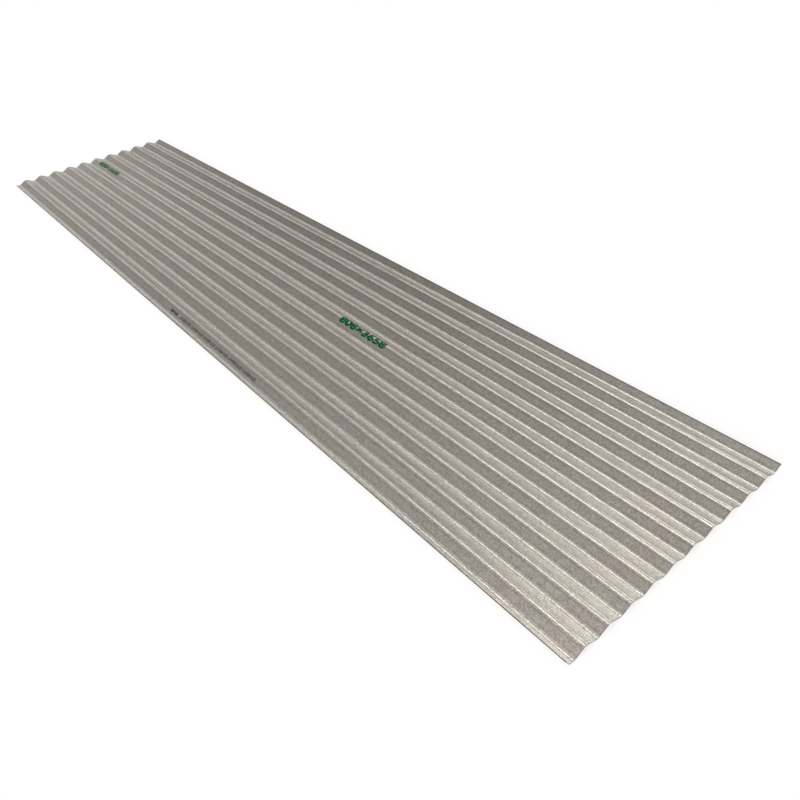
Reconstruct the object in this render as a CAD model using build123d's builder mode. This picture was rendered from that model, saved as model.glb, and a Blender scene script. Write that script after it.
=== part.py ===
from build123d import *
import os
from math import atan2, cos, degrees, sin, tan

# Corrugated metal sheet, cold rolled from one flat strip of thin coated steel.
# X runs across the waves, Y runs along them and Z is up. Seen along +Y, -X is the left edge.
# The origin is on the floor, under the middle of the sheet. All sizes are in millimetres.

# Driving sizes
wave_pitch = 76.2  # from one crest line to the next
wave_depth = 15.9  # from valley to crest, measured on the same face of the metal
bend_radius = 14.2  # of every crest and valley, to the middle of the metal
sheet_thickness = 0.4
sheet_length = 3657.6  # along the waves
whole_crests = 10
left_edge_past_valley = 15.2  # the left edge, from the line of the first valley
right_edge_short_of_crest = 7.6  # the right edge, from the line of the crest that it stops below

# Each flank is straight. It leaves one bend and meets the next at a tangent, and its middle
# is at half depth. Seen from there, the centre of the next bend is a quarter pitch across.
bend_centre_across = wave_pitch / 4
bend_centre_up = wave_depth / 2 - bend_radius
half_flank = (bend_centre_across**2 + bend_centre_up**2 - bend_radius**2) ** 0.5
flank_slope = atan2(bend_centre_up, bend_centre_across) + atan2(bend_radius, half_flank)
flank_length = 2 * half_flank
bend_turn = 2 * degrees(flank_slope)

# The underside of the metal. Its valleys are on the outside of their bends and its crests
# on the inside, so their radii differ by the thickness.
valley_radius = bend_radius + sheet_thickness / 2
crest_radius = bend_radius - sheet_thickness / 2
valley_bend_reach = valley_radius * sin(flank_slope)
valley_bend_rise = valley_radius * (1 - cos(flank_slope))

# Both side edges were sheared part of the way up a flank.
left_flank_across = left_edge_past_valley - valley_bend_reach
left_edge_height = valley_bend_rise + left_flank_across * tan(flank_slope)
right_flank_across = wave_pitch / 2 - right_edge_short_of_crest - valley_bend_reach
sheet_width = left_edge_past_valley + (whole_crests + 0.5) * wave_pitch - right_edge_short_of_crest

# The section is drawn from the line of the first valley, with the valley's underside at Z = 0.
section_plane = Plane(
    origin=(left_edge_past_valley - sheet_width / 2, 0, 0),
    x_dir=(1, 0, 0),
    z_dir=(0, -1, 0),
)


def flank(before, length):
    """A straight flank that goes on from the end of the line before it."""
    return PolarLine(before @ 1, length, direction=before % 1)


def bend(before, radius, turn):
    """A round bend that goes on from the end of the line before it. A positive turn is a valley."""
    return JernArc(before @ 1, before % 1, radius, turn)


with BuildPart() as corrugated_sheet:
    with BuildSketch(section_plane) as section:
        with BuildLine() as underside:
            left_edge = (-left_edge_past_valley, left_edge_height)
            first_bend = (-valley_bend_reach, valley_bend_rise)
            run = Line(left_edge, first_bend)
            run = bend(run, valley_radius, bend_turn)
            for crest in range(whole_crests):
                run = flank(run, flank_length)
                run = bend(run, crest_radius, -bend_turn)
                run = flank(run, flank_length)
                run = bend(run, valley_radius, bend_turn)
            flank(run, right_flank_across / cos(flank_slope))
            offset(amount=sheet_thickness, side=Side.LEFT)
        make_face()
    extrude(amount=sheet_length / 2, both=True)

corrugated_sheet.part.label = "corrugated_sheet"

os.makedirs("parts", exist_ok=True)
export_step(corrugated_sheet.part, "parts/corrugated_sheet.step")

strip_width = section.sketch.area / sheet_thickness
overall_height = wave_depth + sheet_thickness
print("sheet width", round(sheet_width, 2), "height", round(overall_height, 2))
print("flank slope in degrees", round(degrees(flank_slope), 2), "flank length", round(flank_length, 2))
print("width of the flat strip that it was rolled from", round(strip_width, 1))
print("faces", len(corrugated_sheet.faces()), "volume", round(corrugated_sheet.part.volume))
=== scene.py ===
"""Corrugated metal sheet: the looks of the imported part, and a plain studio to show it in.

X runs across the waves, Y runs along them and Z is up, in metres. The origin is on the floor,
under the middle of the sheet. Seen along +Y, -X is the left edge, as in the part's source.
"""

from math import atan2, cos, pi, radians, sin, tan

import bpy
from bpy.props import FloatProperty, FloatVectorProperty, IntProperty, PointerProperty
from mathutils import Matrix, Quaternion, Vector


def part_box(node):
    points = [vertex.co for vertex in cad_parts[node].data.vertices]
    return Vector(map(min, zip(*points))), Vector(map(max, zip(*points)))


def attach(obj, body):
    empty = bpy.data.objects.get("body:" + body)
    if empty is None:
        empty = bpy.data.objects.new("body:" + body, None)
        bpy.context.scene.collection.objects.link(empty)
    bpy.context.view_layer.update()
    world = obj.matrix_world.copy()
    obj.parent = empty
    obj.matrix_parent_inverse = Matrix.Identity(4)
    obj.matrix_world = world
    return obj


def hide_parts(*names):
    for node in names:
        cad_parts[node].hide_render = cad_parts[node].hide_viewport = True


bl_info = {
    "name": "Corrugated Metal Sheet",
    "version": (1, 0, 0),
    "blender": (4, 5, 0),
    "location": "3D View > Sidebar > Metal Sheet",
    "description": "Rolls a corrugated sheet of coated steel, prints size marks on it and sets up a studio",
    "category": "Object",
}

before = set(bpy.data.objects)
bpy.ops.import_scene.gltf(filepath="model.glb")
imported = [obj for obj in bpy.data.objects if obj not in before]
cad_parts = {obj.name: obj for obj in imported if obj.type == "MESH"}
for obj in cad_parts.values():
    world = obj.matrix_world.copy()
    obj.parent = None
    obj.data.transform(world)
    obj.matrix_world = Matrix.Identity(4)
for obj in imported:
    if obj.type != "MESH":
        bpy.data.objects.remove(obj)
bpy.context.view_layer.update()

SHEET_NODE = "corrugated_sheet"
BODY = "root"
MERGE_DISTANCE = 0.000001
sheet_low, sheet_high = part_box(SHEET_NODE)


# Sizes and colours

class SheetSizes(bpy.types.PropertyGroup):
    """Real sizes of the sheet. Its width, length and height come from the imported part."""

    wave_pitch: FloatProperty(
        name="Wave pitch",
        description="From one crest line to the next",
        default=0.0762,
        precision=4,
        unit="LENGTH",
    )
    bend_radius: FloatProperty(
        name="Bend radius",
        description="Radius of every crest and valley, to the middle of the metal",
        default=0.0142,
        precision=4,
        unit="LENGTH",
    )
    thickness: FloatProperty(
        name="Thickness",
        description="Thickness of the metal",
        default=0.0004,
        precision=5,
        unit="LENGTH",
    )
    whole_crests: IntProperty(
        name="Whole crests",
        description="How many crests the sheet has from edge to edge",
        default=10,
    )
    left_edge_past_valley: FloatProperty(
        name="Left edge past valley",
        description="From the left edge to the line of the first valley",
        default=0.0152,
        precision=4,
        unit="LENGTH",
    )
    edge_rounding: FloatProperty(
        name="Edge rounding",
        description="How far the sheared edges are rounded",
        default=0.00006,
        precision=5,
        unit="LENGTH",
    )
    bend_steps: IntProperty(
        name="Bend steps",
        description="Flat facets in each bend",
        default=16,
    )
    flank_margin: FloatProperty(
        name="Flank margin",
        description="Narrow strip beside each bend that keeps the flank flat where it is shaded",
        default=0.0008,
        precision=4,
        unit="LENGTH",
    )
    lengthwise_cuts: IntProperty(
        name="Lengthwise cuts",
        description="Cuts across the waves, from one end to the other",
        default=59,
    )


class CoatingLook(bpy.types.PropertyGroup):
    """Colours, crystals and streaks of the aluminium and zinc coating, with its painted shade and painted
    edge shadow.
    """

    warm_coating: FloatVectorProperty(
        name="Warm coating",
        description="Colour of the coating in the warmer of its broad patches",
        subtype="COLOR",
        default=(0.503, 0.471, 0.422),
        min=0,
        max=1,
    )
    cool_coating: FloatVectorProperty(
        name="Cool coating",
        description="Colour of the coating in the greener of its broad patches",
        subtype="COLOR",
        default=(0.485, 0.476, 0.434),
        min=0,
        max=1,
    )
    patch_size: FloatProperty(
        name="Patch size",
        description="Usual width of the warmer and greener patches",
        default=0.14,
        precision=3,
        unit="LENGTH",
    )
    crystal_size: FloatProperty(
        name="Crystal size",
        description="Usual width of a crystal of the coating",
        default=0.0024,
        precision=4,
        unit="LENGTH",
    )
    crystal_contrast: FloatProperty(
        name="Crystal contrast",
        description="How much brighter or duller than the average a crystal can be",
        default=0.29,
        min=0,
        max=1,
        subtype="FACTOR",
    )
    mottle_size: FloatProperty(
        name="Mottle size",
        description="Usual width of the clouds of brighter and duller crystals",
        default=0.010,
        precision=4,
        unit="LENGTH",
    )
    mottle_contrast: FloatProperty(
        name="Mottle contrast",
        description="How much brighter or duller than the average a cloud can be",
        default=0.10,
        min=0,
        max=1,
        subtype="FACTOR",
    )
    streak_width: FloatProperty(
        name="Streak width",
        description="Usual width of the streaks that the rolls leave along the sheet",
        default=0.0022,
        precision=4,
        unit="LENGTH",
    )
    streak_length: FloatProperty(
        name="Streak length",
        description="Usual length of the streaks that the rolls leave along the sheet",
        default=2.2,
        precision=2,
        unit="LENGTH",
    )
    streak_contrast: FloatProperty(
        name="Streak contrast",
        description="How much brighter or duller than the average a streak can be",
        default=0.11,
        min=0,
        max=1,
        subtype="FACTOR",
    )
    # Painted shade: how dark the coating is painted at the right edge, darkening from the middle outward.
    painted_right_side_shade: FloatProperty(
        name="Right side shade",
        description="Shade of the coating at the right edge, towards which it gets a little duller",
        default=0.87,
        min=0,
        max=1,
        subtype="FACTOR",
    )
    roughness: FloatProperty(
        name="Roughness",
        description="Usual roughness of the coating",
        default=0.40,
        min=0,
        max=1,
        subtype="FACTOR",
    )
    crystal_roughness: FloatProperty(
        name="Crystal roughness",
        description="How much rougher or smoother than usual a crystal can be",
        default=0.05,
        min=0,
        max=1,
        subtype="FACTOR",
    )
    mottle_roughness: FloatProperty(
        name="Mottle roughness",
        description="How much rougher or smoother than usual a cloud can be",
        default=0.04,
        min=0,
        max=1,
        subtype="FACTOR",
    )
    grain_size: FloatProperty(
        name="Grain size",
        description="Usual width of the coating's fine grain",
        default=0.0016,
        precision=4,
        unit="LENGTH",
    )
    grain_height: FloatProperty(
        name="Grain height",
        description="Height of the coating's fine grain",
        default=0.00003,
        precision=6,
        unit="LENGTH",
    )
    # Width of the painted shadow line beside the sheared edges.
    painted_edge_shadow: FloatProperty(
        name="Edge stain",
        description="Width of the dark stain beside the sheared edges",
        default=0.0026,
        precision=4,
        unit="LENGTH",
    )
    bare_steel: FloatVectorProperty(
        name="Bare steel",
        description="Colour of the steel where the sheet was sheared",
        subtype="COLOR",
        default=(0.16, 0.145, 0.125),
        min=0,
        max=1,
    )


class PrintLook(bpy.types.PropertyGroup):
    """Plain size numerals printed on the coating. Every row is read towards -Y."""

    green_ink: FloatVectorProperty(
        name="Green ink",
        description="Colour of the large numerals",
        subtype="COLOR",
        default=(0.002, 0.075, 0.022),
        min=0,
        max=1,
    )
    black_ink: FloatVectorProperty(
        name="Black ink",
        description="Colour of the small numerals",
        subtype="COLOR",
        default=(0.022, 0.021, 0.02),
        min=0,
        max=1,
    )
    ink_height: FloatProperty(
        name="Ink height",
        description="How far the ink stands on the metal",
        default=0.00003,
        precision=6,
        unit="LENGTH",
    )
    ink_depth: FloatProperty(
        name="Ink depth",
        description="How far the ink is sunk in the metal, so that no gap shows below it",
        default=0.00005,
        precision=6,
        unit="LENGTH",
    )
    green_crest: IntProperty(
        name="Green crest",
        description="The crest that carries the green numerals, counted from the left edge",
        default=6,
    )
    green_letter_height: FloatProperty(
        name="Green letter height",
        description="Height of the green numerals, across the waves",
        default=0.0275,
        precision=4,
        unit="LENGTH",
    )
    green_weight: FloatProperty(
        name="Green weight",
        description="How much the strokes of the green numerals are thickened, in parts of the type size",
        default=0.055,
        precision=3,
    )
    green_length: FloatProperty(
        name="Green length",
        description="Length of one row of green numerals",
        default=0.249,
        precision=3,
        unit="LENGTH",
    )
    green_past_crest: FloatProperty(
        name="Green past crest",
        description="From the crest's line to the middle of the green numerals, to the left",
        default=0.0045,
        precision=4,
        unit="LENGTH",
    )
    near_row_start: FloatProperty(
        name="Near row start",
        description="From the far end of the sheet to the start of the nearer green row",
        default=2.288,
        precision=3,
        unit="LENGTH",
    )
    far_row_start: FloatProperty(
        name="Far row start",
        description="From the far end of the sheet to the start of the green row beside it",
        default=0.079,
        precision=3,
        unit="LENGTH",
    )
    black_letter_height: FloatProperty(
        name="Black letter height",
        description="Height of the black numerals, across the waves",
        default=0.0105,
        precision=4,
        unit="LENGTH",
    )
    black_bold_weight: FloatProperty(
        name="Black bold weight",
        description="How much the strokes of the bold start are thickened, in parts of the type size",
        default=0.06,
        precision=3,
    )
    black_weight: FloatProperty(
        name="Black weight",
        description="How much the strokes of the rest of the black row are thickened",
        default=0.02,
        precision=3,
    )
    black_repeats: IntProperty(
        name="Black repeats",
        description="How often the size is written in the rest of the black row",
        default=6,
    )
    black_past_valley: FloatProperty(
        name="Black past valley",
        description="From the first valley's line to the middle of the black numerals",
        default=0.0168,
        precision=4,
        unit="LENGTH",
    )
    black_row_start: FloatProperty(
        name="Black row start",
        description="From the far end of the sheet to the start of the black row",
        default=1.770,
        precision=3,
        unit="LENGTH",
    )
    black_bold_length: FloatProperty(
        name="Black bold length",
        description="Length of the bold start of the black row",
        default=0.057,
        precision=3,
        unit="LENGTH",
    )
    black_length: FloatProperty(
        name="Black length",
        description="Length of the rest of the black row",
        default=0.530,
        precision=3,
        unit="LENGTH",
    )
    black_gap: FloatProperty(
        name="Black gap",
        description="Gap between the bold start and the rest of the black row",
        default=0.018,
        precision=3,
        unit="LENGTH",
    )


class StageLook(bpy.types.PropertyGroup):
    """Floor and camera of the studio."""

    floor_colour: FloatVectorProperty(
        name="Floor colour",
        description="Colour of the floor",
        subtype="COLOR",
        default=(0.95, 0.95, 0.95),
        min=0,
        max=1,
    )
    floor_radius: FloatProperty(
        name="Floor radius",
        description="Radius of the round floor",
        default=40,
        unit="LENGTH",
    )
    floor_drop: FloatProperty(
        name="Floor drop",
        description="How far the floor lies below the underside of the sheet's valleys",
        default=0.0002,
        precision=4,
        unit="LENGTH",
    )
    # Painted shadow on the floor under the sheet: its colour, and how far in from the sheet's sides and
    # ends it starts.
    painted_shadow_under_sheet: FloatVectorProperty(
        name="Floor under sheet",
        description="Colour of the floor where the sheet covers it",
        subtype="COLOR",
        default=(0.09, 0.085, 0.075),
        min=0,
        max=1,
    )
    floor_side_margin: FloatProperty(
        name="Floor side margin",
        description="How far in from the sides of the sheet the covered floor starts",
        default=0.0022,
        precision=4,
        unit="LENGTH",
    )
    floor_end_margin: FloatProperty(
        name="Floor end margin",
        description="How far in from the ends of the sheet the covered floor starts",
        default=0.009,
        precision=3,
        unit="LENGTH",
    )
    floor_whiteness: FloatProperty(
        name="Floor whiteness",
        description="How much of the floor is seen as pure white, which leaves less shadow on it",
        default=0.7,
        min=0,
        max=1,
        subtype="FACTOR",
    )
    camera_azimuth: FloatProperty(
        name="Camera azimuth",
        description="Direction that the camera looks in. At zero it looks along +Y",
        default=radians(-36.056),
        subtype="ANGLE",
    )
    camera_elevation: FloatProperty(
        name="Camera elevation",
        description="How steeply the camera looks down",
        default=radians(39.176),
        subtype="ANGLE",
    )
    camera_roll: FloatProperty(
        name="Camera roll",
        description="How far the camera leans to one side",
        default=radians(-5.721),
        subtype="ANGLE",
    )
    camera_distance: FloatProperty(
        name="Camera distance",
        description="From the lens to the point that it looks at",
        default=2.1476,
        unit="LENGTH",
    )
    camera_target: FloatVectorProperty(
        name="Camera target",
        description="The point on the floor that the camera looks at",
        size=3,
        default=(-0.1052, -0.9363, 0),
        subtype="XYZ",
        unit="LENGTH",
    )
    lens: FloatProperty(
        name="Lens",
        description="Focal length, on a sensor 36 mm wide",
        default=32.482,
        unit="CAMERA",
    )


# Marks that the rolls leave on every wave, partly real and partly painted light: the brightest are
# painted highlight lines beside the bends, the darkest are painted shade. Each has its place on the
# wave, from 0 in one valley through 0.5 at the crest to 1 in the next, and its shade, where 1 is the
# plain coating.
ROLLING_MARKS_AND_HIGHLIGHTS = (
    (0.00, 1.03),
    (0.02, 0.98),
    (0.04, 1.20),
    (0.06, 1.45),
    (0.08, 1.38),
    (0.12, 0.87),
    (0.20, 1.03),
    (0.33, 1.00),
    (0.38, 0.78),
    (0.41, 1.15),
    (0.44, 1.43),
    (0.47, 1.18),
    (0.50, 0.93),
    (0.56, 1.02),
    (0.62, 0.93),
    (0.72, 1.08),
    (0.92, 1.18),
    (0.97, 1.05),
    (1.00, 1.03),
)


# Modelling helpers

def deselect_all():
    """Leave the editing of any object and select nothing."""
    if bpy.context.object and bpy.context.object.mode != "OBJECT":
        bpy.ops.object.mode_set(mode="OBJECT")
    bpy.ops.object.select_all(action="DESELECT")


def select_only(piece):
    """Make one object the only selected one, and the active one."""
    deselect_all()
    piece.select_set(True)
    bpy.context.view_layer.objects.active = piece


def select_edges(piece, wanted):
    """In edit mode, select just the edges whose two end points pass a test."""
    bpy.ops.mesh.select_mode(type="EDGE")
    bpy.ops.mesh.select_all(action="DESELECT")
    bpy.ops.object.mode_set(mode="OBJECT")
    points = piece.data.vertices
    for edge in piece.data.edges:
        edge.select = wanted(*(points[i].co for i in edge.vertices))
    bpy.ops.object.mode_set(mode="EDIT")


def apply_modifier(piece, kind, **settings):
    """Add a modifier to the active object with the given settings, and apply it."""
    modifier = piece.modifiers.new(kind.title(), kind)
    for name, value in settings.items():
        setattr(modifier, name, value)
    bpy.ops.object.modifier_apply(modifier=modifier.name)


# Material helpers

def new_material(name):
    """Make a material and return it with its node tree and its Principled shader."""
    material = bpy.data.materials.new(name)
    material.use_nodes = True
    return material, material.node_tree, material.node_tree.nodes["Principled BSDF"]


def add_node(tree, kind, inputs=None, **settings):
    """Add a node. Its inputs, by name or number, are values or the outputs of other nodes."""
    node = tree.nodes.new(kind)
    for name, value in settings.items():
        setattr(node, name, value)
    for socket, value in (inputs or {}).items():
        if isinstance(value, bpy.types.NodeSocket):
            tree.links.new(value, node.inputs[socket])
        else:
            node.inputs[socket].default_value = value
    return node


def calculate(tree, operation, *values):
    """Work out a number from others with a Math node."""
    return add_node(tree, "ShaderNodeMath", dict(enumerate(values)), operation=operation).outputs["Value"]


def spread_over(tree, value, first, last, start=0.0, end=1.0):
    """Go from the first number to the last as a value goes from start to end, and no further."""
    sockets = {"Value": value, "From Min": start, "From Max": end, "To Min": first, "To Max": last}
    return add_node(tree, "ShaderNodeMapRange", sockets).outputs["Result"]


def vary(tree, value, usual, by):
    """Spread a value between 0 and 1 evenly on both sides of a usual number."""
    return spread_over(tree, value, usual - by, usual + by)


def noise(tree, place, size, detail=2.0, length=None):
    """Cloudy noise from 0 to 1. Its clouds have a usual size, and can be longer along the waves."""
    scaled = add_node(
        tree,
        "ShaderNodeVectorMath",
        {0: place, 1: (1 / size, 1 / (length or size), 1 / size)},
        operation="MULTIPLY",
    )
    sockets = {"Vector": scaled.outputs["Vector"], "Scale": 1.0, "Detail": detail}
    return add_node(tree, "ShaderNodeTexNoise", sockets).outputs["Fac"]


def mix_colours(tree, factor, first, second):
    """Go from the first colour to the second as the factor goes from 0 to 1."""
    node = add_node(tree, "ShaderNodeMix", data_type="RGBA")
    sockets = [socket for socket in node.inputs if socket.enabled]
    tree.links.new(factor, sockets[0])
    sockets[1].default_value = (*first, 1)
    sockets[2].default_value = (*second, 1)
    return next(socket for socket in node.outputs if socket.enabled)


# Pieces

def first_valley_line(sizes):
    """Where the line of the first valley is, across the waves."""
    return sheet_low.x + sizes.left_edge_past_valley


def straight_flank(sizes, depth):
    """Half the length and the slope of a flank that meets both bends at a tangent."""
    across = sizes.wave_pitch / 4
    up = depth / 2 - sizes.bend_radius
    half_length = (across**2 + up**2 - sizes.bend_radius**2) ** 0.5
    return half_length, atan2(up, across) + atan2(sizes.bend_radius, half_length)


class METALSHEET_OT_roll_waves(bpy.types.Operator):
    """Roll the waves of the sheet, give it its thickness and coat it"""

    bl_idname = "metal_sheet.roll_waves"
    bl_label = "Roll the waves"
    bl_options = {"REGISTER", "UNDO"}

    def execute(self, context):
        sizes = context.scene.sheet_sizes
        half = sizes.thickness / 2
        length = sheet_high.y - sheet_low.y

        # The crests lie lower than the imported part's by the height of the ink that is printed on one.
        valley_up = sheet_low.z + half
        crest_up = sheet_high.z - half - context.scene.print_look.ink_height

        half_flank, slope = straight_flank(sizes, crest_up - valley_up)
        reach = sizes.bend_radius * sin(slope)
        rise = sizes.bend_radius * (1 - cos(slope))
        margin = sizes.flank_margin * cos(slope)
        first_valley = first_valley_line(sizes)
        last_valley = first_valley + sizes.whole_crests * sizes.wave_pitch

        def flank(across, way):
            """Pull the open edge out along a flank. The way is -1 down and 1 up."""
            for part in (margin, across - 2 * margin, margin):
                move = {"value": (part, 0, way * part * tan(slope))}
                bpy.ops.mesh.extrude_edges_move(TRANSFORM_OT_translate=move)

        def bend(line, up, way):
            """Spin the open edge round a bend. The way is 1 in a valley and -1 at a crest."""
            centre = (line, 0, up + way * sizes.bend_radius)
            turn = way * 2 * slope
            bpy.ops.mesh.spin(steps=sizes.bend_steps, angle=turn, center=centre, axis=(0, 1, 0))

        # The left flank starts as a narrow plane at the left edge.
        start = sheet_low.x + half * sin(slope)
        across = first_valley - reach - start
        middle = start + margin / 2
        up = valley_up + rise + (across - margin / 2) * tan(slope)
        deselect_all()
        bpy.ops.mesh.primitive_plane_add(size=1, location=(middle, 0, up), rotation=(0, slope, 0))
        piece = context.object
        piece.name = piece.data.name = "rolled_sheet"
        piece.scale = (sizes.flank_margin, length, 1)
        bpy.ops.object.transform_apply(location=True, rotation=True, scale=True)
        bpy.ops.object.mode_set(mode="EDIT")
        select_edges(piece, lambda a, b: a.x > middle and b.x > middle)
        flank(across - margin, -1)
        bend(first_valley, valley_up, 1)
        for crest in range(sizes.whole_crests):
            line = first_valley + (crest + 0.5) * sizes.wave_pitch
            flank(2 * half_flank * cos(slope), 1)
            bend(line, crest_up, -1)
            flank(2 * half_flank * cos(slope), -1)
            bend(line + sizes.wave_pitch / 2, valley_up, 1)
        flank(sheet_high.x - half * sin(slope) - last_valley - reach, 1)

        # Cuts across the waves keep the faces from being long slivers.
        select_edges(piece, lambda a, b: abs(a.y - b.y) > length / 2)
        bpy.ops.mesh.subdivide(number_cuts=sizes.lengthwise_cuts)
        bpy.ops.mesh.select_all(action="SELECT")
        bpy.ops.mesh.remove_doubles(threshold=MERGE_DISTANCE)
        bpy.ops.mesh.normals_make_consistent(inside=False)
        bpy.ops.object.mode_set(mode="OBJECT")
        if sum(face.normal.z for face in piece.data.polygons) < 0:
            piece.data.flip_normals()

        apply_modifier(piece, "SOLIDIFY", thickness=sizes.thickness, offset=0, use_even_offset=True)
        apply_modifier(
            piece,
            "BEVEL",
            width=sizes.edge_rounding,
            segments=2,
            limit_method="ANGLE",
            angle_limit=radians(60),
        )
        bpy.ops.object.shade_smooth_by_angle(angle=radians(15))

        # The cut ends and the two sheared sides show the bare steel.
        piece.data.materials.append(coated_steel(context.scene.coating_look, sizes))
        piece.data.materials.append(sheared_edge(context.scene.coating_look))
        for face in piece.data.polygons:
            at_end = abs(face.center.y) > length / 2 - sizes.edge_rounding
            at_left = face.center.x < sheet_low.x + sizes.thickness * sin(slope)
            at_right = face.center.x > sheet_high.x - sizes.thickness * sin(slope)
            if at_end or ((at_left or at_right) and abs(face.normal.x) > abs(face.normal.z)):
                face.material_index = 1
        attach(piece, BODY)
        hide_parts(SHEET_NODE)
        return {"FINISHED"}


def coated_steel(look, sizes):
    """Steel coated with aluminium and zinc: small crystals, faint tints, rolling marks, and painted
    highlights and shade.
    """
    material, tree, shader = new_material("coated_steel")
    shader.inputs["Metallic"].default_value = 1.0
    place = add_node(tree, "ShaderNodeTexCoord").outputs["Object"]
    across = add_node(tree, "ShaderNodeSeparateXYZ", {"Vector": place}).outputs["X"]

    # Every crystal is a little brighter or duller, and smoother or rougher, than the next.
    crystals = add_node(
        tree, "ShaderNodeTexVoronoi", {"Vector": place, "Scale": 1 / look.crystal_size}
    )
    crystal = add_node(tree, "ShaderNodeSeparateColor", {"Color": crystals.outputs["Color"]})
    shade = vary(tree, crystal.outputs["Red"], 1, look.crystal_contrast)
    rough = vary(tree, crystal.outputs["Green"], look.roughness, look.crystal_roughness)

    # Whole clouds of them are as well.
    mottle = noise(tree, place, look.mottle_size, detail=3.0)
    shade = calculate(tree, "MULTIPLY", shade, vary(tree, mottle, 1, look.mottle_contrast))
    rough = calculate(tree, "ADD", rough, vary(tree, mottle, 0, look.mottle_roughness))
    tree.links.new(rough, shader.inputs["Roughness"])

    # The rolls leave long streaks. Lines at the same place on every wave are partly rolling marks and
    # partly painted highlights and painted shade.
    streaks = noise(tree, place, look.streak_width, length=look.streak_length)
    shade = calculate(tree, "MULTIPLY", shade, vary(tree, streaks, 1, look.streak_contrast))
    wave = calculate(tree, "SUBTRACT", across, first_valley_line(sizes))
    wave = calculate(tree, "FRACT", calculate(tree, "DIVIDE", wave, sizes.wave_pitch))
    shade = calculate(tree, "MULTIPLY", shade, rolling_marks_and_highlights(tree, wave))

    # Painted shade makes the coating darker from the middle to the right edge, and a painted shadow
    # darkens it beside the edges.
    duller = spread_over(tree, across, 1.0, look.painted_right_side_shade, end=sheet_high.x)
    shade = calculate(tree, "MULTIPLY", shade, duller)
    shade = calculate(tree, "MULTIPLY", shade, painted_edge_shadow(tree, place, look.painted_edge_shadow))

    # Broad patches are a little warmer or greener. Spreading them past 0 and 1 narrows the change.
    patches = noise(tree, place, look.patch_size, detail=3.0)
    patches = spread_over(tree, patches, -1.0, 2.0)
    tint = mix_colours(tree, patches, look.warm_coating, look.cool_coating)
    colour = add_node(tree, "ShaderNodeVectorMath", {0: tint, "Scale": shade}, operation="SCALE")
    tree.links.new(colour.outputs["Vector"], shader.inputs["Base Color"])

    # Fine grain, in which every crystal also lies a little higher or lower than the next.
    grain = calculate(tree, "ADD", noise(tree, place, look.grain_size), crystal.outputs["Blue"])
    bump = add_node(tree, "ShaderNodeBump", {"Height": grain, "Distance": look.grain_height})
    tree.links.new(bump.outputs["Normal"], shader.inputs["Normal"])
    return material


def rolling_marks_and_highlights(tree, wave):
    """Rolling marks, painted highlights and painted shade along every wave, from the place on the wave.

    A colour ramp can't go past 1, so this one holds half of each shade, and the finer lines double
    it again. There are about 38 of those to a wave, up to 7 % lighter or darker.
    """
    worn_and_lit = add_node(tree, "ShaderNodeValToRGB", {"Fac": wave})
    stops = worn_and_lit.color_ramp.elements
    places, shades = zip(*ROLLING_MARKS_AND_HIGHLIGHTS)
    for place in places[1:-1]:
        stops.new(place)
    for stop, shade in zip(stops, shades):
        stop.color = (shade / 2, shade / 2, shade / 2, 1)
    fine = add_node(tree, "ShaderNodeTexNoise", {"W": wave, "Scale": 38.0}, noise_dimensions="1D")
    fine = vary(tree, fine.outputs["Fac"], 2, 2 * 0.07)
    return calculate(tree, "MULTIPLY", worn_and_lit.outputs["Color"], fine)


def painted_edge_shadow(tree, place, width):
    """Painted shadow on the coating beside the sheared edges, a dark line along them.

    The painted shadow is ragged, and half as wide at the cut ends as at the sides. It fades out over the
    half of its width that lies farther from the edge.
    """
    parts = add_node(tree, "ShaderNodeSeparateXYZ", {"Vector": place}).outputs
    from_side = calculate(tree, "SUBTRACT", sheet_high.x, calculate(tree, "ABSOLUTE", parts["X"]))
    from_end = calculate(tree, "SUBTRACT", sheet_high.y, calculate(tree, "ABSOLUTE", parts["Y"]))
    from_edge = calculate(tree, "MINIMUM", from_side, calculate(tree, "MULTIPLY", from_end, 2.0))
    ragged = vary(tree, noise(tree, place, size=0.02), width, 0.4 * width)
    across_shadow = calculate(tree, "DIVIDE", from_edge, ragged)
    return spread_over(tree, across_shadow, 0.2, 1.0, start=0.5, end=1.0)


def sheared_edge(look):
    """Bare steel, torn and dull, where the sheet was sheared."""
    material, tree, shader = new_material("sheared_edge")
    shader.inputs["Metallic"].default_value = 0.6
    place = add_node(tree, "ShaderNodeTexCoord").outputs["Object"]
    torn = noise(tree, place, size=0.0006, detail=4.0)
    darker = [part * 0.7 for part in look.bare_steel]
    tree.links.new(mix_colours(tree, torn, darker, look.bare_steel), shader.inputs["Base Color"])
    tree.links.new(spread_over(tree, torn, 0.45, 0.65), shader.inputs["Roughness"])
    bump = add_node(tree, "ShaderNodeBump", {"Height": torn, "Distance": 0.00004})
    tree.links.new(bump.outputs["Normal"], shader.inputs["Normal"])
    return material


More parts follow.
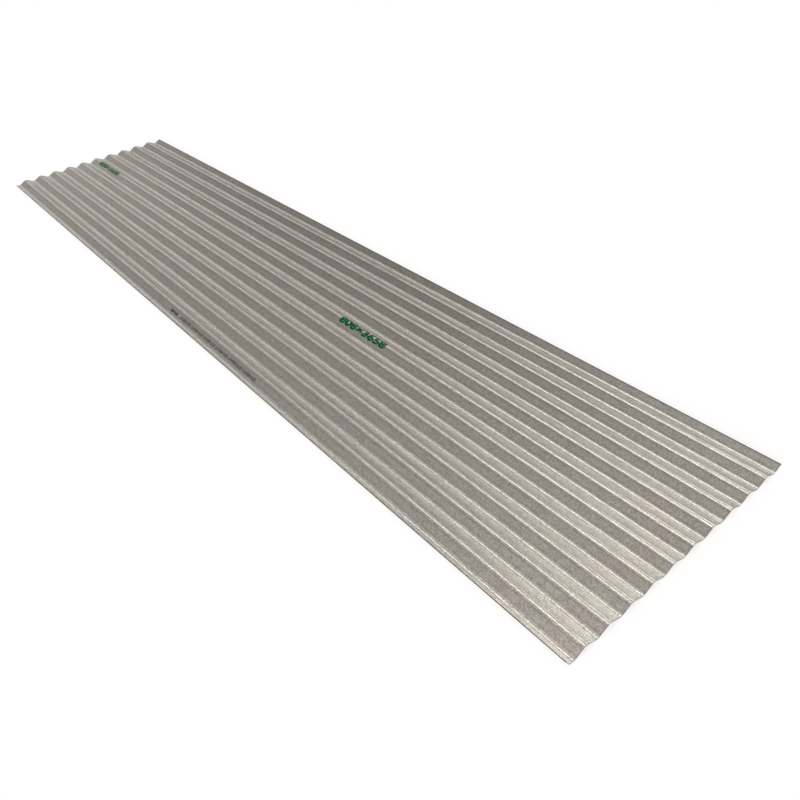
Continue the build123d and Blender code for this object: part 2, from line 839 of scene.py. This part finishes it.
def printed_numerals(name, numerals, ink, weight, middle, height, length, cuts=()):
    """Print a row of numerals on the sheet, as a thin layer of ink that follows its waves.

    The row is read towards -Y. The weight thickens its strokes. Its middle is a place on the floor
    plan, its height is measured across the waves and its length along them. It is cut at the given
    places across the waves, so that it can follow a bend.
    """
    look = bpy.context.scene.print_look
    deselect_all()
    bpy.ops.object.text_add()
    text = bpy.context.object.data
    text.body = numerals
    text.offset = weight
    text.resolution_u = 3
    bpy.ops.object.convert(target="MESH")
    bpy.ops.object.origin_set(type="ORIGIN_GEOMETRY", center="BOUNDS")
    piece = bpy.context.object
    piece.name = piece.data.name = name
    piece.location = (*middle, 2 * sheet_high.z)
    piece.rotation_euler = (0, 0, radians(-90))
    piece.scale = (length / piece.dimensions.x, height / piece.dimensions.y, 1)
    bpy.ops.object.transform_apply(location=True, rotation=True, scale=True)

    bpy.ops.object.mode_set(mode="EDIT")
    for cut in cuts:
        bpy.ops.mesh.select_all(action="SELECT")
        bpy.ops.mesh.bisect(plane_co=(cut, 0, 0), plane_no=(1, 0, 0))
    bpy.ops.object.mode_set(mode="OBJECT")
    apply_modifier(
        piece,
        "SHRINKWRAP",
        target=bpy.data.objects["rolled_sheet"],
        wrap_method="PROJECT",
        use_project_z=True,
        use_positive_direction=False,
        use_negative_direction=True,
    )
    layer = look.ink_height + look.ink_depth
    apply_modifier(piece, "SOLIDIFY", thickness=layer, offset=2 * look.ink_height / layer - 1)
    piece.data.materials.append(ink)
    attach(piece, BODY)
    return piece


class METALSHEET_OT_print_green_rows(bpy.types.Operator):
    """Print the width and length of the sheet in green on one crest, in two places"""

    bl_idname = "metal_sheet.print_green_rows"
    bl_label = "Print the green rows"
    bl_options = {"REGISTER", "UNDO"}

    def execute(self, context):
        sizes = context.scene.sheet_sizes
        look = context.scene.print_look
        crest = first_valley_line(sizes) + (look.green_crest - 0.5) * sizes.wave_pitch
        slope = straight_flank(sizes, sheet_high.z - sheet_low.z - sizes.thickness)[1]
        cuts = [
            crest + sizes.bend_radius * sin(slope * (2 * step / sizes.bend_steps - 1))
            for step in range(sizes.bend_steps + 1)
        ]
        start = sheet_high.y - look.near_row_start
        near = printed_numerals(
            "green_numerals_near",
            size_in_millimetres(),
            stamped_ink("green_ink", look.green_ink),
            weight=look.green_weight,
            middle=(crest - look.green_past_crest, start - look.green_length / 2),
            height=look.green_letter_height,
            length=look.green_length,
            cuts=cuts,
        )
        select_only(near)
        bpy.ops.object.duplicate(linked=False)
        far = context.object
        far.name = far.data.name = "green_numerals_far"
        far.location.y = look.near_row_start - look.far_row_start
        bpy.ops.object.transform_apply(location=True, rotation=True, scale=True)
        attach(far, BODY)
        return {"FINISHED"}


class METALSHEET_OT_print_black_row(bpy.types.Operator):
    """Print the thickness, width and length of the sheet in small black numerals"""

    bl_idname = "metal_sheet.print_black_row"
    bl_label = "Print the black row"
    bl_options = {"REGISTER", "UNDO"}

    def execute(self, context):
        sizes = context.scene.sheet_sizes
        look = context.scene.print_look
        across = first_valley_line(sizes) + look.black_past_valley
        start = sheet_high.y - look.black_row_start
        ink = stamped_ink("black_ink", look.black_ink)
        printed_numerals(
            "black_numerals_bold",
            size_in_millimetres(),
            ink,
            weight=look.black_bold_weight,
            middle=(across, start - look.black_bold_length / 2),
            height=look.black_letter_height,
            length=look.black_bold_length,
        )
        start -= look.black_bold_length + look.black_gap
        mark = f"{sizes.thickness * 1000:.1f}×{size_in_millimetres()}"
        printed_numerals(
            "black_numerals",
            "  ".join([mark] * look.black_repeats),
            ink,
            weight=look.black_weight,
            middle=(across, start - look.black_length / 2),
            height=look.black_letter_height,
            length=look.black_length,
        )
        return {"FINISHED"}


def size_in_millimetres():
    """The width and length of the sheet, as its size is written on it."""
    width, length = (1000 * (high - low) for low, high in zip(sheet_low.xy, sheet_high.xy))
    return f"{width:.0f}×{length:.0f}"


def stamped_ink(name, colour):
    """Ink stamped on metal, thin enough for the metal to shine through, in some places more."""
    material, tree, shader = new_material(name)
    place = add_node(tree, "ShaderNodeTexCoord").outputs["Object"]
    cover = noise(tree, place, size=0.004, detail=4.0)
    thin = [part * 1.4 for part in colour]
    tree.links.new(mix_colours(tree, cover, colour, thin), shader.inputs["Base Color"])
    tree.links.new(spread_over(tree, cover, 0.8, 1.0), shader.inputs["Metallic"])
    tree.links.new(spread_over(tree, cover, 0.30, 0.50), shader.inputs["Roughness"])
    grain = noise(tree, place, size=0.0009)
    bump = add_node(tree, "ShaderNodeBump", {"Height": grain, "Distance": 0.00002})
    tree.links.new(bump.outputs["Normal"], shader.inputs["Normal"])
    return material


# Studio

class METALSHEET_OT_set_stage(bpy.types.Operator):
    """Lay the floor and set up the lamps and the camera"""

    bl_idname = "metal_sheet.set_stage"
    bl_label = "Set the stage"
    bl_options = {"REGISTER", "UNDO"}

    def execute(self, context):
        look = context.scene.stage_look
        deselect_all()
        bpy.ops.mesh.primitive_circle_add(
            vertices=96,
            radius=look.floor_radius,
            fill_type="NGON",
            location=(0, 0, -look.floor_drop),
        )
        floor = context.object
        floor.name = floor.data.name = "floor"
        bpy.ops.object.transform_apply(location=True, rotation=True, scale=True)
        floor.data.materials.append(pale_floor(look))
        hang_backdrop(context.scene)
        add_softbox("top_softbox", azimuth=30, elevation=74, spread=9, brightness=5.43)
        add_softbox("high_softbox", azimuth=55, elevation=58, spread=9, brightness=4.97)
        add_softbox("right_softbox", azimuth=10, elevation=25, spread=12, brightness=4.88)
        add_softbox("middle_softbox", azimuth=44, elevation=25, spread=10, brightness=1.62)
        add_softbox("back_softbox", azimuth=70, elevation=25, spread=12, brightness=1.46)
        add_softbox("low_softbox", azimuth=90, elevation=16, spread=9, brightness=1.33)
        warm = (1.09, 0.97, 0.95)
        add_softbox("left_softbox", azimuth=200, elevation=30, spread=25, brightness=6.87, colour=warm)
        add_softbox("left_fill", azimuth=150, elevation=30, spread=40, brightness=0.46)
        add_camera(context.scene, look)
        return {"FINISHED"}


def pale_floor(look):
    """Pale, dull studio floor, partly white by itself so that the sheet's shadow is faint.

    It has a painted shadow below the sheet, which shows as a thin dark line under the raised left edge.
    """
    material, tree, shader = new_material("pale_floor")
    place = add_node(tree, "ShaderNodeTexCoord").outputs["Object"]
    parts = add_node(tree, "ShaderNodeSeparateXYZ", {"Vector": place}).outputs
    across = calculate(tree, "ABSOLUTE", parts["X"])
    along = calculate(tree, "ABSOLUTE", parts["Y"])
    # Painted shadow: where the sheet covers the floor, it is coloured dark and shows no white.
    covered = calculate(
        tree,
        "MULTIPLY",
        calculate(tree, "LESS_THAN", across, sheet_high.x - look.floor_side_margin),
        calculate(tree, "LESS_THAN", along, sheet_high.y - look.floor_end_margin),
    )
    colour = mix_colours(tree, covered, look.floor_colour, look.painted_shadow_under_sheet)
    tree.links.new(colour, shader.inputs["Base Color"])
    shader.inputs["Roughness"].default_value = 0.9
    shader.inputs["Specular IOR Level"].default_value = 0.0
    white = add_node(tree, "ShaderNodeEmission", {"Color": (1, 1, 1, 1), "Strength": 1.0})
    rays = add_node(tree, "ShaderNodeLightPath").outputs
    seen = calculate(tree, "MAXIMUM", rays["Is Glossy Ray"], rays["Is Transmission Ray"])
    seen = calculate(tree, "MAXIMUM", seen, rays["Is Camera Ray"])
    share = calculate(tree, "MULTIPLY", seen, look.floor_whiteness)
    share = calculate(tree, "MULTIPLY", share, calculate(tree, "SUBTRACT", 1.0, covered))
    mixed = add_node(
        tree,
        "ShaderNodeMixShader",
        {"Fac": share, 1: shader.outputs["BSDF"], 2: white.outputs["Emission"]},
    )
    tree.links.new(mixed.outputs["Shader"], tree.nodes["Material Output"].inputs["Surface"])
    return material


def hang_backdrop(scene):
    """White backdrop that only the camera sees whole. The metal mirrors just its lowest degrees."""
    world = bpy.data.worlds.new("white_backdrop")
    scene.world = world
    world.use_nodes = True
    tree = world.node_tree
    rays = add_node(tree, "ShaderNodeLightPath").outputs
    mirrored = calculate(tree, "MAXIMUM", rays["Is Glossy Ray"], rays["Is Transmission Ray"])
    direction = add_node(tree, "ShaderNodeTexCoord").outputs["Generated"]
    up = add_node(tree, "ShaderNodeSeparateXYZ", {"Vector": direction}).outputs["Z"]
    low_down = spread_over(tree, up, 1.0, 0.0, start=0.03, end=0.09)
    strength = calculate(tree, "MULTIPLY", mirrored, low_down)
    strength = calculate(tree, "MAXIMUM", strength, rays["Is Camera Ray"])
    backdrop = tree.nodes["Background"]
    backdrop.inputs["Color"].default_value = (1, 1, 1, 1)
    tree.links.new(strength, backdrop.inputs["Strength"])


def add_softbox(name, azimuth, elevation, spread, brightness, colour=(1, 1, 1)):
    """Hang a round softbox so far away that it lights both ends of the long sheet alike.

    The azimuth is counted from +X towards +Y and the elevation up from the floor. The spread is
    from the middle of the softbox to its rim. All are in degrees. Brightness 1 is white.
    """
    around = radians(azimuth)
    up = radians(elevation)
    towards = Vector((cos(up) * cos(around), cos(up) * sin(around), sin(up)))
    turn = towards.to_track_quat("Z", "Y").to_euler()
    bpy.ops.object.light_add(type="SUN", location=towards * 10, rotation=turn)
    lamp = bpy.context.object
    lamp.name = lamp.data.name = name
    lamp.data.angle = 2 * radians(spread)
    lamp.data.energy = brightness * pi * sin(radians(spread)) ** 2
    lamp.data.color = colour


def add_camera(scene, look):
    """Put the camera where the photograph was taken from."""
    azimuth = look.camera_azimuth
    elevation = look.camera_elevation
    back = Vector((sin(azimuth) * cos(elevation), -cos(azimuth) * cos(elevation), sin(elevation)))
    turn = (-back).to_track_quat("-Z", "Y") @ Quaternion((0, 0, 1), look.camera_roll)
    place = Vector(look.camera_target) + back * look.camera_distance
    bpy.ops.object.camera_add(location=place, rotation=turn.to_euler())
    camera = bpy.context.object
    camera.name = camera.data.name = "camera"
    camera.data.lens = look.lens
    camera.data.clip_end = 200
    scene.camera = camera
    scene.view_settings.view_transform = "Standard"


# Panel

class METALSHEET_PT_sidebar(bpy.types.Panel):
    """Sizes, colours and the steps that make the sheet"""

    bl_idname = "METALSHEET_PT_sidebar"
    bl_label = "Corrugated Metal Sheet"
    bl_space_type = "VIEW_3D"
    bl_region_type = "UI"
    bl_category = "Metal Sheet"

    def draw(self, context):
        for group in ("sheet_sizes", "coating_look", "print_look", "stage_look"):
            settings = getattr(context.scene, group)
            box = self.layout.box()
            for name in settings.bl_rna.properties.keys():
                if name not in ("rna_type", "name"):
                    box.prop(settings, name)
        for step in STEPS:
            self.layout.operator(step.bl_idname)


STEPS = (
    METALSHEET_OT_roll_waves,
    METALSHEET_OT_print_green_rows,
    METALSHEET_OT_print_black_row,
    METALSHEET_OT_set_stage,
)
GROUPS = {
    "sheet_sizes": SheetSizes,
    "coating_look": CoatingLook,
    "print_look": PrintLook,
    "stage_look": StageLook,
}


def register():
    """Make the settings, the steps and the panel known to Blender."""
    for kind in (*GROUPS.values(), *STEPS, METALSHEET_PT_sidebar):
        bpy.utils.register_class(kind)
    for name, kind in GROUPS.items():
        setattr(bpy.types.Scene, name, PointerProperty(type=kind))


def unregister():
    """Take back what register did."""
    for name in GROUPS:
        delattr(bpy.types.Scene, name)
    for kind in (METALSHEET_PT_sidebar, *reversed(STEPS), *reversed(GROUPS.values())):
        bpy.utils.unregister_class(kind)


def main():
    """Make the sheet, print its size on it, and set up the studio."""
    register()
    bpy.ops.metal_sheet.roll_waves()
    bpy.ops.metal_sheet.print_green_rows()
    bpy.ops.metal_sheet.print_black_row()
    bpy.ops.metal_sheet.set_stage()


if __name__ == "__main__":
    main()
